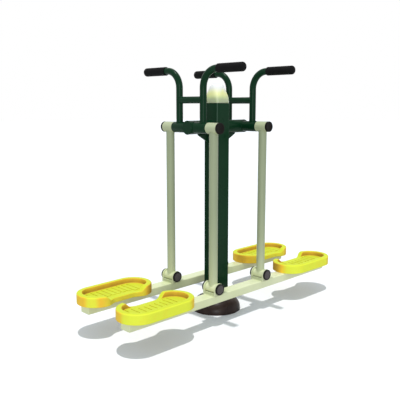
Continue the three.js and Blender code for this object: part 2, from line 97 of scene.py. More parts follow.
camera = bpy.data.objects.new("photo_camera", bpy.data.cameras.new("photo_camera"))
scene.collection.objects.link(camera)
camera.data.sensor_fit = "HORIZONTAL"
camera.data.sensor_width = film_width
camera.data.lens = focal_pixels * film_width / photo_width
camera.location = (-2.4452, -2.3384, 1.1942)
camera.rotation_euler = (np.radians(90 - camera_dip), 0, np.radians(camera_turn - 90))
scene.camera = camera

world = bpy.data.worlds.new("even_sky")
scene.world = world
world.use_nodes = True
sky = world.node_tree
sky.nodes.clear()
sky_light = add(sky, "ShaderNodeBackground", {"Color": (0.93, 1.04, 1.17, 1),
                                              "Strength": sky_level})
sky_white = add(sky, "ShaderNodeBackground", {"Color": (1, 1, 1, 1), "Strength": 1})
sky_mix = add(sky, "ShaderNodeMixShader", {
    0: seen_directly(sky),
    1: sky_light.outputs[0],
    2: sky_white.outputs[0],
})
add(sky, "ShaderNodeOutputWorld", {"Surface": sky_mix.outputs[0]})

# Pale paving, seen white. It sends less light back up than it shows, as ground that is
# duller than it looks in the noon sun, so undersides stay deep.
paving = bpy.data.materials.new("pale_paving")
paving.use_nodes = True
paving.node_tree.nodes.clear()
paving_dull = add(paving.node_tree, "ShaderNodeBsdfDiffuse", {"Color": (0.5, 0.5, 0.5, 1)})
paving_white = add(paving.node_tree, "ShaderNodeBsdfDiffuse", {"Color": (1, 1, 1, 1)})
paving_mix = add(paving.node_tree, "ShaderNodeMixShader", {
    0: seen_directly(paving.node_tree),
    1: paving_dull.outputs[0],
    2: paving_white.outputs[0],
})
add(paving.node_tree, "ShaderNodeOutputMaterial", {"Surface": paving_mix.outputs[0]})
floor_half = 40
floor_mesh = bpy.data.meshes.new("floor")
floor_mesh.from_pydata(
    [(-floor_half, -floor_half, 0), (floor_half, -floor_half, 0),
     (floor_half, floor_half, 0), (-floor_half, floor_half, 0)],
    [], [(0, 1, 2, 3)],
)
floor_mesh.materials.append(paving)
floor = bpy.data.objects.new("floor", floor_mesh)
scene.collection.objects.link(floor)


def lamp(name, kind, toward, strength, **settings):
    """A lamp that shines from a direction, given as the vector that points at it."""
    data = bpy.data.lights.new(name, kind)
    data.energy = strength
    for key, value in settings.items():
        setattr(data, key, value)
    thing = bpy.data.objects.new(name, data)
    thing.rotation_euler = Vector(toward).to_track_quat("Z", "Y").to_euler()
    scene.collection.objects.link(thing)
    return thing


lamp("noon_sun", "SUN", (-0.0435, -0.0626, 1), np.pi * noon_level, angle=np.radians(1))
lamp("low_fill", "SUN", (-0.68, -0.73, 0.16), np.pi * fill_level, angle=np.radians(26))
# A weak lamp from behind lifts the far sides, and no reflection shows it
back_fill = lamp("back_fill", "SUN", (0.6, 0.75, 0.3), np.pi * back_fill_level,
                 angle=np.radians(60))
back_fill.visible_glossy = False

# Base plate and anchors. A square of 12 mm plate is welded under the post and held down
# on the footing by four M16 anchors, each with a washer and a nut. They lie under the
# cover, keep their CAD shape and take their finish here.
body_of = {
    node: body
    for body, members in frame["record"]["behaviour"]["bodies"].items()
    for node in members
}


def start_material(name):
    """A new material, its empty node tree, and the place on the piece in metres, which
    its patterns are laid out by."""
    material = bpy.data.materials.new(name)
    material.use_nodes = True
    material.node_tree.nodes.clear()
    place = add(material.node_tree, "ShaderNodeTexCoord").outputs["Object"]
    return material, material.node_tree, place


def powder_coat(name, shade, faded, painted_light_colour, patch_share, specular, roughness):
    """Polyester powder, sprayed and baked. It gives the eye one even satin colour with
    a faint orange peel, a slightly paler bloom where the weather has been at it, and a
    third colour of painted light, painted shade or a painted highlight, by a marked share."""
    coat, tree, place = start_material(name)
    # Weather bloom in patches about 250 mm across
    bloom = add(tree, "ShaderNodeTexNoise", {"Vector": place, "Scale": 4, "Detail": 3})
    bloom_share = add(tree, "ShaderNodeMapRange", {
        "Value": bloom.outputs[0],
        "From Min": 0.35, "From Max": 0.7, "To Min": 0, "To Max": patch_share,
    })
    tone = add(tree, "ShaderNodeMix", {
        0: bloom_share.outputs[0], 6: colour(shade), 7: colour(faded),
    }, data_type="RGBA")
    # The marked share mixes in the third colour, which is painted shade or a painted highlight
    painted_light_share = add(tree, "ShaderNodeAttribute", attribute_name="painted_light_share").outputs["Fac"]
    painted_light_mix = add(tree, "ShaderNodeMix", {
        0: painted_light_share, 6: tone.outputs[2], 7: colour(painted_light_colour),
    }, data_type="RGBA")
    # Orange peel is about 1 mm across on the real coat. It is drawn at 4 mm, the
    # finest that a render of the whole machine can show.
    peel = add(tree, "ShaderNodeTexNoise", {"Vector": place, "Scale": 250, "Detail": 1})
    relief = add(tree, "ShaderNodeBump", {
        "Strength": 0.12, "Distance": 0.0004, "Height": peel.outputs[0],
    })
    sheen = add(tree, "ShaderNodeMapRange", {
        "Value": bloom.outputs[0],
        "From Min": 0.3, "From Max": 0.75,
        "To Min": roughness - 0.04, "To Max": roughness + 0.08,
    })
    shader = add(tree, "ShaderNodeBsdfPrincipled", {
        "Base Color": painted_light_mix.outputs[2],
        "Roughness": sheen.outputs[0],
        "IOR": 1.5,
        "Specular IOR Level": specular,
        "Normal": relief.outputs[0],
    })
    add(tree, "ShaderNodeOutputMaterial", {"Surface": shader.outputs[0]})
    return coat


def plated_steel(name, shade, roughness, spangle_size):
    """Steel with a thin bright plating. It gives the eye a grey metal whose sheen is
    broken into soft patches of a given size in millimetres."""
    plating, tree, place = start_material(name)
    spangle = add(tree, "ShaderNodeTexNoise", {
        "Vector": place, "Scale": 1000 / spangle_size, "Detail": 4,
    })
    sheen = add(tree, "ShaderNodeMapRange", {
        "Value": spangle.outputs[0],
        "From Min": 0.3, "From Max": 0.7,
        "To Min": roughness - 0.08, "To Max": roughness + 0.12,
    })
    tone = add(tree, "ShaderNodeMix", {
        0: spangle.outputs[0], 6: colour(shade), 7: colour("#B9BBB8"),
    }, data_type="RGBA")
    shader = add(tree, "ShaderNodeBsdfPrincipled", {
        "Base Color": tone.outputs[2],
        "Metallic": 1,
        "Roughness": sheen.outputs[0],
    })
    add(tree, "ShaderNodeOutputMaterial", {"Surface": shader.outputs[0]})
    return plating


def dress(finish, slot, *names):
    """Gives CAD nodes that keep their own shape a finish."""
    for name in names:
        node = frame["nodes"][name]
        node.data.materials.clear()
        node.data.materials.append(finish)


# The green coat's third colour is the pale painted highlight along the post's corners
green_coat = powder_coat("green_powder_coat", "#0A2E19", "#113722", "#7A9484", 0.5, 0.08, 0.26)
zinc_plating = plated_steel("bright_zinc_plating", "#9EA19F", 0.34, 12)
dress(green_coat, "green_paint", "base_plate")
dress(zinc_plating, "zinc_steel", "anchor_bolt_front_left", "anchor_bolt_front_right",
      "anchor_bolt_rear_left", "anchor_bolt_rear_right")

# Base cover. A dome moulded in dark brown nylon, 3 mm thick, with a square opening for
# the post and a narrow flat lip at its foot. It drops over the post and hides the
# anchors.
cover_radius = 145
cover_height = 90
cover_wall = 3
cover_lip_height = 3
cover_lip_width = 1
cover_lip_edge = 0.6
cover_opening_half = 50.6
cover_share = 2.4
crease_angle = 32


def build(name, shells, finish, node, marks=None, stands_in=True):
    """Joins closed shells into one piece. A shell is an array of rings of points in
    millimetres, and its faces are the quads between points j and j + 1 of rings i and
    i + 1. Marks are shares, one for each point, that the finish reads by name. The piece
    moves as its CAD node does, and stands in for the node unless it is only fixed to it."""
    points = []
    faces = []
    start = 0
    for rings in shells:
        rows, around = rings.shape[:2]
        index = np.arange(rows * around).reshape(rows, around) + start
        beside = np.roll(index, -1, axis=1)
        quads = np.stack([index[:-1], beside[:-1], beside[1:], index[1:]], axis=-1)
        points.append(rings.reshape(-1, 3))
        faces.append(quads.reshape(-1, 4))
        start += rows * around
    mesh = bpy.data.meshes.new(name)
    mesh.from_pydata(np.concatenate(points) * 0.001, [], np.concatenate(faces).tolist())
    for mark, shares in (marks or {}).items():
        layer = mesh.attributes.new(mark, "FLOAT", "POINT")
        layer.data.foreach_set("value", np.concatenate([s.ravel() for s in shares]))
    joined = bmesh.new()
    joined.from_mesh(mesh)
    bmesh.ops.remove_doubles(joined, verts=joined.verts, dist=1e-5)
    bmesh.ops.recalc_face_normals(joined, faces=joined.faces)
    joined.to_mesh(mesh)
    joined.free()
    mesh.shade_smooth()
    mesh.set_sharp_from_angle(angle=np.radians(crease_angle))
    mesh.materials.append(finish)
    thing = bpy.data.objects.new(name, mesh)
    scene.collection.objects.link(thing)
    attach(thing, body_of[node])
    if stands_in:
        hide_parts(node)


def round_places(count):
    """Even turns of a closed curve, in radians."""
    return np.arange(count) * 2 * np.pi / count


def points_at(x, y, z):
    """Points from their coordinates, each a number or an array, spread to one shape."""
    return np.stack(np.broadcast_arrays(x, y, z), axis=-1)


def dome_rows(radius, height, rise):
    """One skin of the cover. At the turn t the dome runs in from its foot, radius R cos
    a to the power 2 / share and height H sin a to the power 2 / share, up to the edge of
    the square opening, whose radius is half its width over the larger of |cos t| and
    |sin t|. The rows divide that run evenly in a."""
    turn = round_places(96)
    edge = cover_opening_half / np.maximum(np.abs(np.cos(turn)), np.abs(np.sin(turn)))
    last = np.arccos((edge / radius) ** (cover_share / 2))
    angle = rise[:, None] * last[None, :]
    across = radius * np.cos(angle) ** (2 / cover_share)
    up = height * np.sin(angle) ** (2 / cover_share)
    return points_at(across * np.cos(turn), across * np.sin(turn), up)


def moulded_nylon(name, shade, dusty, dust_share, specular, roughness, grain):
    """Nylon, moulded in a lightly etched tool. It gives the eye a dark satin skin with
    a fine grain, and a little pale dust held in broad patches."""
    nylon, tree, place = start_material(name)
    dust = add(tree, "ShaderNodeTexNoise", {"Vector": place, "Scale": 14, "Detail": 6})
    dust_map = add(tree, "ShaderNodeMapRange", {
        "Value": dust.outputs[0],
        "From Min": 0.45, "From Max": 0.8, "To Min": 0, "To Max": dust_share,
    })
    tone = add(tree, "ShaderNodeMix", {
        0: dust_map.outputs[0], 6: colour(shade), 7: colour(dusty),
    }, data_type="RGBA")
    etch = add(tree, "ShaderNodeTexVoronoi", {"Vector": place, "Scale": 1000 / grain})
    relief = add(tree, "ShaderNodeBump", {
        "Strength": 0.2, "Distance": 0.0003, "Height": etch.outputs[0],
    })
    matt = add(tree, "ShaderNodeMapRange", {
        "Value": dust.outputs[0],
        "From Min": 0.3, "From Max": 0.8,
        "To Min": roughness - 0.03, "To Max": roughness + 0.12,
    })
    shader = add(tree, "ShaderNodeBsdfPrincipled", {
        "Base Color": tone.outputs[2],
        "Roughness": matt.outputs[0],
        "IOR": 1.5,
        "Specular IOR Level": specular,
        "Normal": relief.outputs[0],
    })
    add(tree, "ShaderNodeOutputMaterial", {"Surface": shader.outputs[0]})
    return nylon


# The etched grain is 0.5 mm on the real part, drawn at 2 mm so that it shows
cover_nylon = moulded_nylon("brown_moulded_nylon", "#2B211E", "#554942", 0.3, 0.12, 0.3, 2)
rise = np.linspace(0, 1, 25)
outer_skin = dome_rows(cover_radius - cover_lip_width, cover_height, rise)
inner_skin = dome_rows(cover_radius - cover_wall, cover_height - cover_wall, rise[::-1])
outer_skin[0, :, 2] = cover_lip_height
inner_skin[-1, :, 2] = 0
lip_top = outer_skin[:1] * (cover_radius / (cover_radius - cover_lip_width))
lip_top[..., 2] = cover_lip_height - cover_lip_edge
lip_foot = lip_top * [1, 1, 0]
cover_rings = np.concatenate([lip_foot, lip_top, outer_skin, inner_skin, lip_foot])
build("moulded_base_cover", [cover_rings], cover_nylon, "base_cover")

# Post. Square steel tube, 100 by 4 mm with tight 2 mm corners, welded to the base plate
# and powder coated green. A painted highlight runs pale along the corners.
post_foot = 12.3
post_top = 1212
post_width = 100
post_wall = 4
post_corner = 2
post_bore_corner = 1
post_edge = 1
post_highlight_share = 0.5


def rounded_outline(width, depth, corner, steps=6, hold=1.2):
    """A rectangle with round corners. Each corner is its centre plus the radius times
    (cos a, sin a) over a quarter turn, with one more point a little way along the
    straight on either side, which keeps the flats flat to the light."""
    turn = np.arange(4)[:, None] * np.pi / 2 + np.linspace(0, np.pi / 2, steps + 1)
    x = corner * np.cos(turn)
    y = corner * np.sin(turn)
    first = turn[:, :1]
    last = turn[:, -1:]
    x = np.hstack([corner * np.cos(first) + hold * np.sin(first), x,
                   corner * np.cos(last) - hold * np.sin(last)])
    y = np.hstack([corner * np.sin(first) - hold * np.cos(first), y,
                   corner * np.sin(last) + hold * np.cos(last)])
    x = x + np.array([[1], [-1], [-1], [1]]) * (width / 2 - corner)
    y = y + np.array([[1], [1], [-1], [-1]]) * (depth / 2 - corner)
    return np.stack([x, y], axis=-1).reshape(-1, 2)


def raised(outline, height):
    """An outline of (x, y) points lifted to one height, as a ring."""
    return np.column_stack([outline, np.full(len(outline), float(height))])[None]


post_bore = post_width - 2 * post_wall
post_outer = rounded_outline(post_width, post_width, post_corner)
post_inner = rounded_outline(post_bore, post_bore, post_bore_corner)
post_rings = np.concatenate([
    raised(post_outer, post_foot),
    raised(post_outer, post_top - post_edge),
    raised(post_outer * (1 - post_edge / post_width), post_top),
    raised(post_inner, post_top),
    raised(post_inner, post_foot),
    raised(post_outer, post_foot),
])
# Points on the rounded corners take a share of the painted highlight
post_reach = np.abs(post_rings[..., :2]).min(axis=-1)
post_painted_highlight = post_highlight_share * (post_reach > post_width / 2 - post_corner)
build("painted_post", [post_rings], green_coat, "post", {"painted_light_share": [post_painted_highlight]})

# Post cap. A hollow dome moulded in cream polyethylene with a square spigot that pushes
# into the post. Its foot is a square with tight corners, and it grows rounder as it
# rises.
cap_foot = 1212.3
cap_height = 108
cap_side_share = 3.5
cap_foot_squareness = 26
cap_top_squareness = 2
cap_edge_width = 0.6
cap_edge_height = 0.8
cap_spigot_half = 45.7
cap_spigot_depth = 25
cap_spigot_edge = 2


def cap_ring(across, up):
    """Rings of the cap: a circle of radius r drawn out by (|cos t|^n + |sin t|^n)^(-1/n),
    where n falls from the foot's squareness to the top's with the fourth power of the
    height that is left."""
    across = np.array(across, float)[:, None]
    up = np.array(up, float)[:, None]
    turn = round_places(96)
    share = np.clip(up / cap_height, 0, 1)
    n = cap_top_squareness + (cap_foot_squareness - cap_top_squareness) * (1 - share) ** 4
    stretch = (np.abs(np.cos(turn)) ** n + np.abs(np.sin(turn)) ** n) ** (-1 / n)
    reach = across * stretch
    return points_at(reach * np.cos(turn), reach * np.sin(turn), cap_foot + up)


def cap_polyethylene(name):
    """Polyethylene, moulded. It gives the eye painted light from above: a white crown
    that turns cream and then a painted shade of grey-green above the joint with the post,
    with an uneven edge between the bands."""
    plastic, tree, place = start_material(name)
    height = add(tree, "ShaderNodeSeparateXYZ", {0: place}).outputs["Z"]
    streaks = add(tree, "ShaderNodeMapping", {"Vector": place, "Scale": (40, 40, 8)})
    band_wobble = add(tree, "ShaderNodeTexNoise", {
        "Vector": streaks.outputs[0], "Scale": 1, "Detail": 4,
    })
    shifted = add(tree, "ShaderNodeMath", {
        0: band_wobble.outputs[0], 1: 0.02, 2: height,
    }, operation="MULTIPLY_ADD")
    # The heights are in metres above the ground
    painted_crown_light = add(tree, "ShaderNodeMapRange", {
        "Value": shifted.outputs[0],
        "From Min": 1.273, "From Max": 1.312, "To Min": 0, "To Max": 1,
    }, interpolation_type="SMOOTHSTEP")
    above_painted_foot_shade = add(tree, "ShaderNodeMapRange", {
        "Value": shifted.outputs[0],
        "From Min": 1.238, "From Max": 1.276, "To Min": 0, "To Max": 1,
    }, interpolation_type="SMOOTHSTEP")
    # Painted light: white at the crown, cream below it, painted shade of grey-green at the foot
    lower = add(tree, "ShaderNodeMix", {
        0: above_painted_foot_shade.outputs[0], 6: colour("#C6D0A4"), 7: colour("#FAFFB2"),
    }, data_type="RGBA")
    whole = add(tree, "ShaderNodeMix", {
        0: painted_crown_light.outputs[0], 6: lower.outputs[2], 7: colour("#FFFFEC"),
    }, data_type="RGBA")
    shader = add(tree, "ShaderNodeBsdfPrincipled", {
        "Base Color": whole.outputs[2],
        "Subsurface Weight": 1,
        "Subsurface Radius": (1, 1, 1),
        "Subsurface Scale": 0.06,
        "Roughness": 0.45,
        "IOR": 1.5,
        "Specular IOR Level": 0.4,
    })
    add(tree, "ShaderNodeOutputMaterial", {"Surface": shader.outputs[0]})
    return plastic


cap_angle = np.linspace(0, np.pi / 2, 33)
cap_across = post_width / 2 * np.cos(cap_angle) ** (2 / cap_side_share)
cap_across[-1] = 0
cap_up = cap_height * np.sin(cap_angle) ** (2 / cap_side_share)
cap_plastic = cap_polyethylene("cream_polyethylene_painted_light")
cap_rings = np.concatenate([
    cap_ring([0, cap_spigot_half - cap_spigot_edge], [-cap_spigot_depth] * 2),
    cap_ring([cap_spigot_half], [cap_spigot_edge - cap_spigot_depth]),
    cap_ring([cap_spigot_half, post_width / 2 - cap_edge_width], [0, 0]),
    cap_ring([post_width / 2], [cap_edge_height]),
    cap_ring(cap_across[1:], cap_up[1:]),
])
build("moulded_post_cap", [cap_rings], cap_plastic, "post_cap")

# Head tube. Round steel tube, 76 mm, through the post, with a disc welded in either end
# and a weld run round it where it leaves the post.
top_pivot = 1079
arm_x = 203
head_radius = 38
head_end = 236.3
head_disc_weld = 231
head_weld_radius = 3.2
weld_pitch = 4


def turned(profile, axis, centre, around=64):
    """A turned piece. Each (radius, along) point of the profile becomes a circle of that
    radius at that place along the axis."""
    radius, along = np.array(profile, float).T[..., None]
    turn = round_places(around)
    wide = radius * np.cos(turn)
    high = radius * np.sin(turn)
    order = {"X": (along, wide, high), "Y": (high, along, wide), "Z": (wide, high, along)}
    return points_at(*order[axis]) + np.array(centre, float)


def arc(radius, along, bend, start, end, steps):
    """Profile points of a round edge: its centre plus the bend radius times (cos a,
    sin a), with a in degrees."""
    angle = np.radians(np.linspace(start, end, steps + 1))
    return list(zip(radius + bend * np.cos(angle), along + bend * np.sin(angle)))


def mirrored(half):
    """The profile of one half of a turned piece, carried on through its mirror image."""
    return half + [(radius, -along) for radius, along in reversed(half)]


def weld(curve, radius, ends_meet=True):
    """A weld run along a curve of points: circles about the curve, in the plane across
    it, whose radius swells and falls by a tenth once for each laid drop. A run whose ends
    don't meet is straight, so its own middle is moved a little to one side."""
    if ends_meet:
        run = np.roll(curve, -1, axis=0) - np.roll(curve, 1, axis=0)
    else:
        run = np.gradient(curve, axis=0)
    run = run / np.linalg.norm(run, axis=1, keepdims=True)
    away = curve - curve.mean(axis=0) + (0 if ends_meet else np.array([0, 0.01, 0.01]))
    away = away - run * (away * run).sum(axis=1, keepdims=True)
    away = away / np.linalg.norm(away, axis=1, keepdims=True)
    side = np.cross(run, away)
    travelled = np.linalg.norm(np.diff(curve, axis=0, prepend=curve[:1]), axis=1).cumsum()
    swell = radius * (1 + 0.1 * np.cos(2 * np.pi * travelled / weld_pitch))
    if not ends_meet:
        swell[[0, -1]] = 0
    turn = round_places(8)[:, None]
    spokes = np.cos(turn) * away[:, None] + np.sin(turn) * side[:, None]
    rings = curve[:, None] + swell[:, None, None] * spokes
    return np.concatenate([rings, rings[:1]]) if ends_meet else rings


half_head = [(0, head_end), (head_radius - 4, head_end)]
half_head += arc(head_radius - 2.5, head_end - 1.5, 1.5, 90, 10, 4)
half_head += [(head_radius - 1, head_disc_weld + 3), (head_radius + 0.6, head_disc_weld + 1.8),
              (head_radius, head_disc_weld)]
head_shells = [turned(mirrored(half_head), "X", (0, 0, top_pivot), 72)]
head_turn = round_places(200)
for side in (-1, 1):
    ring = points_at(side * (post_width / 2 + 0.5), (head_radius + 0.6) * np.cos(head_turn),
                     top_pivot + (head_radius + 0.6) * np.sin(head_turn))
    head_shells.append(weld(ring, head_weld_radius))
build("painted_head_tube", head_shells, green_coat, "head_tube")

# Gussets. Two triangles of 8 mm plate with a cut tip stand under the head tube against
# the post, welded along both edges.
gusset_thickness = 8
gusset_start = 50.3
gusset_foot_width = 6
gusset_tip = 151
gusset_tip_height = 6
gusset_high = -head_radius - 0.3
gusset_low = gusset_high - 58
gusset_weld_radius = 2.4
sides = (("left", -1), ("right", 1))


def slab(outline, low, high, edge):
    """A flat plate on an outline: its edge is rounded by moving the outline inwards by
    e (1 - cos a) while its height rises by e sin a, and each face closes on its middle.
    A second ring just inside the rounding keeps the face flat to the light."""
    ahead = np.roll(outline, -1, axis=0) - outline
    behind = outline - np.roll(outline, 1, axis=0)
    ahead = ahead / np.linalg.norm(ahead, axis=1, keepdims=True)
    behind = behind / np.linalg.norm(behind, axis=1, keepdims=True)
    turn = 1 + (ahead * behind).sum(axis=1, keepdims=True)
    inward = np.stack([-(ahead + behind)[:, 1], (ahead + behind)[:, 0]], axis=-1) / turn
    angle = np.linspace(0, np.pi / 2, 4)
    insets = np.concatenate([[0], edge * (1 - np.cos(angle)), [1.8 * edge]])
    rises = high + np.concatenate([[-1.8 * edge], edge * np.sin(angle) - edge, [0]])
    upper = [raised(outline + inset * inward, rise) for inset, rise in zip(insets, rises)]
    middle = raised(np.broadcast_to(outline.mean(axis=0), outline.shape), high)
    lower = [ring * [1, 1, -1] + [0, 0, high + low] for ring in [*upper, middle]]
    return np.concatenate([*lower[::-1], *upper, middle])


gusset_outline = np.array([
    [gusset_start, gusset_high], [gusset_start, gusset_low],
    [gusset_start + gusset_foot_width, gusset_low],
    [gusset_tip, gusset_high - gusset_tip_height], [gusset_tip, gusset_high],
])
gusset_plate = slab(gusset_outline, -gusset_thickness / 2, gusset_thickness / 2, 0.8)
tube_run = 52 + np.linspace(0, 1, 110) * 98
post_run = top_pivot + np.linspace(gusset_low + 1, gusset_high - 2, 60)
for side, sign in sides:
    shells = [gusset_plate[..., [0, 2, 1]] * [sign, 1, 1] + [0, 0, top_pivot]]
    for face in (-1, 1):
        weld_y = face * (gusset_thickness / 2 + 0.6)
        along_tube = points_at(sign * tube_run, weld_y, top_pivot + gusset_high - 0.6)
        down_post = points_at(sign * 50.8, weld_y, post_run)
        shells.append(weld(along_tube, gusset_weld_radius, False))
        shells.append(weld(down_post, gusset_weld_radius, False))
    build(f"painted_gusset_{side}", shells, green_coat, f"gusset_{side}")

# Cross tubes and axles. A 60 mm tube passes through either end of the head tube and is
# welded to it all round. A 25 mm axle runs through the tube in two turned seats, with a
# nut and a washer at either end that keep the arms on.
cross_radius = 30
cross_half = 132.7
axle_bore = 12.8
cross_weld_radius = 3


def surface_at(radius, across):
    """How far a round surface stands off its axis at a place across it: sqrt(r^2 - x^2)."""
    return np.sqrt(radius ** 2 - across ** 2)


cross_profile = [(axle_bore, -cross_half), (cross_radius - 3, -cross_half)]
cross_profile += arc(cross_radius - 1.5, 1.5 - cross_half, 1.5, -90, 0, 3)
cross_profile = mirrored(cross_profile)
cross_profile.append(cross_profile[0])
saddle_turn = round_places(220)
saddle_x = (cross_radius + 0.5) * np.cos(saddle_turn)
saddle_z = (cross_radius + 0.5) * np.sin(saddle_turn)
saddle_y = surface_at(head_radius + 0.5, saddle_z)
for side, sign in sides:
    shells = [turned(cross_profile, "Y", (sign * arm_x, 0, top_pivot))]
    for face in (-1, 1):
        saddle = points_at(sign * arm_x + saddle_x, face * saddle_y, top_pivot + saddle_z)
        shells.append(weld(saddle, cross_weld_radius))
    build(f"painted_cross_tube_{side}", shells, green_coat,
          f"cross_tube_{side}")
dress(zinc_plating, "zinc_steel", "axle_left", "axle_right")

# Handlebars. For each walker two 38 mm tubes stand on the cross tube, bend outwards
# through a quarter turn and end in the grips, with a crossbar between them. Their feet
# are cut to the round of the cross tube and every joint is welded.
handle_radius = 19
handle_y = 93
bend_radius = 97
bend_start = 1292
grip_height = bend_start + bend_radius
handle_end = 376.7
crossbar_height = 1228
foot_weld_radius = 2.6
bar_weld_radius = 2.2


def handle_tube(x, sign):
    """One bent tube: circles carried up a straight, round the bend and out along Y. In
    the bend the line is (R (1 - cos b), R sin b). The foot follows the cross tube, at
    height sqrt(r^2 - x^2) over its middle, and closes on its own centre."""
    bend = np.linspace(0, np.pi / 2, 25)
    tilt = np.concatenate([[0, 0], bend, [np.pi / 2] * 4])
    reach = handle_end - handle_y
    out = np.concatenate([[0, 0], bend_radius * (1 - np.cos(bend)),
                          [bend_radius + 4, reach - 2, reach, reach]])
    up = np.concatenate([[top_pivot + cross_radius + 6, bend_start - 4],
                         bend_start + bend_radius * np.sin(bend), [grip_height] * 4])
    radius = np.full(len(tilt), float(handle_radius))
    radius[-2:] = [handle_radius - 2, 0]
    turn = round_places(48)
    side = radius[:, None] * np.sin(turn)
    flat = radius[:, None] * np.cos(turn)
    rings = points_at(x + side,
                      sign * (handle_y + out[:, None] + flat * np.cos(tilt)[:, None]),
                      up[:, None] - flat * np.sin(tilt)[:, None])
    shrink = np.array([0, 0.5, 1])[:, None]
    foot_x = handle_radius * np.sin(turn) * shrink
    foot_y = handle_radius * np.cos(turn) * shrink
    foot = points_at(x + foot_x, sign * (handle_y + foot_y),
                     top_pivot + surface_at(cross_radius, foot_x))
    return np.concatenate([foot, rings])


bar_turn = round_places(48)
bar_x = handle_radius * np.sin(bar_turn)
bar_z = crossbar_height + handle_radius * np.cos(bar_turn)
bar_y = np.linspace(-1, 1, 9)[:, None] * (handle_y - surface_at(handle_radius, bar_x) + 0.2)
weld_turn = round_places(160)
foot_weld_x = (handle_radius + 0.4) * np.sin(weld_turn)
foot_weld_y = (handle_radius + 0.4) * np.cos(weld_turn)
foot_weld_z = top_pivot + surface_at(cross_radius + 0.4, foot_weld_x)
bar_weld_x = (handle_radius + 0.2) * np.sin(weld_turn)
bar_weld_y = handle_y - surface_at(handle_radius, handle_radius * np.sin(weld_turn))
bar_weld_z = crossbar_height + (handle_radius + 0.2) * np.cos(weld_turn)
for side, sign in sides:
    x = sign * arm_x
    lids = [np.broadcast_to([x, face * (handle_y - 8), crossbar_height], (1, 48, 3))
            for face in (-1, 1)]
    crossbar = np.concatenate([lids[0], points_at(x + bar_x, bar_y, bar_z), lids[1]])
    shells = [handle_tube(x, -1), handle_tube(x, 1), crossbar]
    for face in (-1, 1):
        around_foot = points_at(x + foot_weld_x, face * handle_y + foot_weld_y, foot_weld_z)
        around_bar = points_at(x + bar_weld_x, face * bar_weld_y, bar_weld_z)
        shells.append(weld(around_foot, foot_weld_radius))
        shells.append(weld(around_bar, bar_weld_radius))
    build(f"painted_handlebar_{side}", shells, green_coat,
          f"handlebar_{side}")

# Grips. Moulded black rubber sleeves, 48 mm, pushed over the handlebar ends, with a
# closed round outer end and a small lip at the open one.
grip_radius = 24
grip_inner = 202
grip_outer = 382
grip_bore = 19.3
grip_end_wall = 5
grip_lip = 1.6
grip_round = 14
ends = (("front", -1), ("rear", 1))
corners = [(f"{side}_{end}", sign, face) for side, sign in sides for end, face in ends]


def moulded_rubber(name):
    """Rubber, moulded and handled. It gives the eye a deep black with almost no shine,
    a fine pebble under the hand and slightly greyer worn patches."""
    rubber, tree, place = start_material(name)
    worn = add(tree, "ShaderNodeTexNoise", {"Vector": place, "Scale": 22, "Detail": 4})
    worn_share = add(tree, "ShaderNodeMapRange", {
        "Value": worn.outputs[0],
        "From Min": 0.4, "From Max": 0.75, "To Min": 0, "To Max": 0.6,
    })
    tone = add(tree, "ShaderNodeMix", {
        0: worn_share.outputs[0], 6: colour("#121212"), 7: colour("#1B1A1A"),
    }, data_type="RGBA")
    # The pebble is about 1 mm on the real grip, drawn at 2.5 mm so that it shows
    pebble = add(tree, "ShaderNodeTexVoronoi", {"Vector": place, "Scale": 400})
    relief = add(tree, "ShaderNodeBump", {
        "Strength": 0.25, "Distance": 0.0005, "Height": pebble.outputs[0],
    })
    shader = add(tree, "ShaderNodeBsdfPrincipled", {
        "Base Color": tone.outputs[2],
        "Roughness": 0.7,
        "IOR": 1.52,
        "Specular IOR Level": 0.06,
        "Normal": relief.outputs[0],
    })
    add(tree, "ShaderNodeOutputMaterial", {"Surface": shader.outputs[0]})
    return rubber


grip_rubber = moulded_rubber("black_moulded_rubber")
grip_profile = [
    (0, grip_outer - grip_end_wall), (grip_bore, grip_outer - grip_end_wall),
    (grip_bore, grip_inner), (grip_bore + 1, grip_inner), (grip_radius - 2, grip_inner),
    *arc(grip_radius - grip_lip, grip_inner + grip_lip, grip_lip, -60, 0, 3),
    (grip_radius, grip_inner + 4), (grip_radius, grip_outer - grip_round - 1),
    *arc(grip_radius - grip_round, grip_outer - grip_round, grip_round, 0, 90, 9),
    (0, grip_outer),
]
for corner, sign, face in corners:
    rings = turned(grip_profile, "Y", (0, 0, grip_height), 56) * [1, face, 1]
    build(f"rubber_grip_{corner}", [rings + [sign * arm_x, 0, 0]], grip_rubber,
          f"grip_{corner}")

# Hanging arms. A 48 mm tube with a bearing sleeve welded across either end, powder
# coated cream. Two ball bearings and their spacer sit in the top sleeve and a bronze
# bush in the bottom one.
beam_y = 171.5
bottom_pivot = 206
arm_radius = 24
top_sleeve_radius = 30
top_sleeve_half = 38
top_bore = 26
bottom_sleeve_radius = 27
bottom_sleeve_half = 36.7
bottom_bore = 22
arm_weld_radius = 2.4
# The cream coat's third colour is the grey-green painted shade on the arms and brackets
cream_coat = powder_coat("cream_powder_coat", "#DFE5B4", "#EDF0CC", "#959F80", 0.6, 0.15, 0.3)


def sleeve(radius, bore, half, place):
    """A short bored tube along Y with rounded rims."""
    rim = arc(radius - 1.5, half - 1.5, 1.5, 0, 90, 3)
    side = [(radius, 0), (radius, half - 3)] + rim + [(radius - 3, half), (bore, half), (bore, 0)]
    return turned(mirrored(side), "Y", place)


